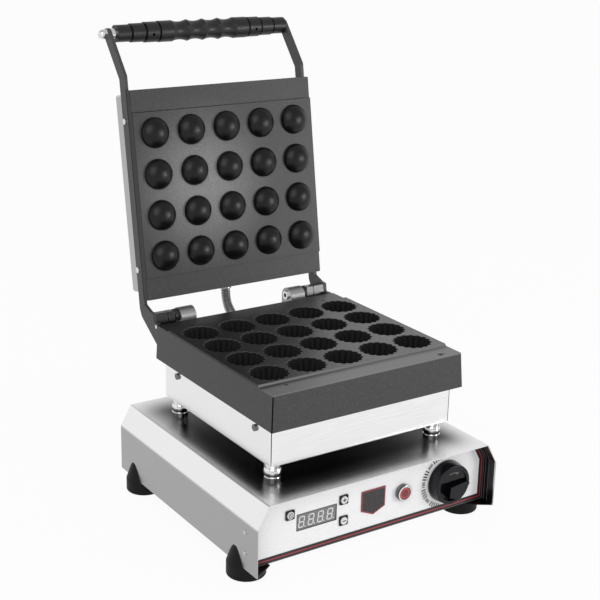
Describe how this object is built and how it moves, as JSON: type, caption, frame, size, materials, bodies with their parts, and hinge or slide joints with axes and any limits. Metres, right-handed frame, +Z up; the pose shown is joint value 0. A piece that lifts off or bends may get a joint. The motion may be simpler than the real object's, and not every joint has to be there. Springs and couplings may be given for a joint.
{
  "type": "tartlet shell maker",
  "caption": "Countertop cooker for fluted tartlet shells, with a hinged lid of domes over a plate of cups and a control panel in its base.",
  "frame": {"origin": "on the table under the middle of the open machine's width and depth", "axes": "+Z up, +X to the right of the control panel, -Y towards the user"},
  "size_m": [0.336, 0.415, 0.5346],
  "materials": {
    "stainless": "satin",
    "coated_cast": "non-stick coated",
    "dark_steel": "satin",
    "plain_steel": "satin",
    "chrome": "polished",
    "rubber": "matte",
    "white_panel": "gloss",
    "black_plastic": "matte",
    "gloss_black": "gloss",
    "white_plastic": "gloss",
    "window": "gloss",
    "red_lens": "gloss",
    "conduit_steel": "polished",
    "insulation": "matte"
  },
  "bodies": {
    "base": {"base_cover": "stainless", "cover_rivets": "stainless", "bottom_plate": "stainless", "front_panel": "white_panel", "panel_trim": "black_plastic", "rear_panel": "stainless", "inlet_gland": "black_plastic", "terminal_block": "black_plastic", "foot_front_left": "rubber", "foot_front_right": "rubber", "foot_back_left": "rubber", "foot_back_right": "rubber", "foot_screws": "stainless", "spacer_post_front_left": "chrome", "spacer_post_front_right": "chrome", "spacer_post_back_left": "chrome", "spacer_post_back_right": "chrome", "lower_casing": "stainless", "casing_screws": "chrome", "lower_mould_plate": "coated_cast", "lower_heater": "stainless", "lower_insulation": "insulation", "hinge_bracket_left": "plain_steel", "hinge_bracket_right": "plain_steel", "hinge_bolt_left": "chrome", "hinge_bolt_right": "chrome", "hinge_spacer_left": "dark_steel", "hinge_spacer_right": "dark_steel", "conduit": "conduit_steel", "base_gland": "black_plastic", "display_window": "window", "timer_module": "black_plastic", "set_key_frame": "gloss_black", "plus_key_frame": "gloss_black", "minus_key_frame": "gloss_black", "lamp_bezel": "gloss_black", "lamp_lens": "red_lens", "badge": "black_plastic", "thermostat_body": "black_plastic"},
    "lid": {"upper_mould_plate": "coated_cast", "upper_casing": "stainless", "upper_heater": "stainless", "upper_insulation": "insulation", "side_arm_left": "dark_steel", "side_arm_right": "dark_steel", "hinge_boss_left": "plain_steel", "hinge_boss_right": "plain_steel", "arm_screws": "chrome", "stop_screws": "chrome", "handle_rod": "chrome", "handle_grip": "black_plastic", "handle_washer": "plain_steel", "cap_nut": "chrome", "lid_gland": "black_plastic"},
    "set_button": {"set_key": "white_plastic"},
    "plus_button": {"plus_key": "white_plastic"},
    "minus_button": {"minus_key": "white_plastic"},
    "knob": {"thermostat_knob": "gloss_black", "thermostat_shaft": "stainless"}
  },
  "joints": [
    {"name": "lid_hinge", "type": "hinge", "parent": "base", "child": "lid", "pos_m": [0, 0.09292, 0.202], "axis": [1, 0, 0], "range_deg": [0, 99.2], "deforming": ["conduit"]},
    {"name": "thermostat_turn", "type": "hinge", "parent": "base", "child": "knob", "pos_m": [0.1015, -0.18848, 0.056], "axis": [0, 1, 0], "range_deg": [0, 270]},
    {"name": "set_press", "type": "slide", "parent": "base", "child": "set_button", "axis": [0, 1, 0], "range_m": [0, 0.0005], "stiffness_N_per_m": 600},
    {"name": "plus_press", "type": "slide", "parent": "base", "child": "plus_button", "axis": [0, 1, 0], "range_m": [0, 0.0005], "stiffness_N_per_m": 600},
    {"name": "minus_press", "type": "slide", "parent": "base", "child": "minus_button", "axis": [0, 1, 0], "range_m": [0, 0.0005], "stiffness_N_per_m": 600}
  ]
}
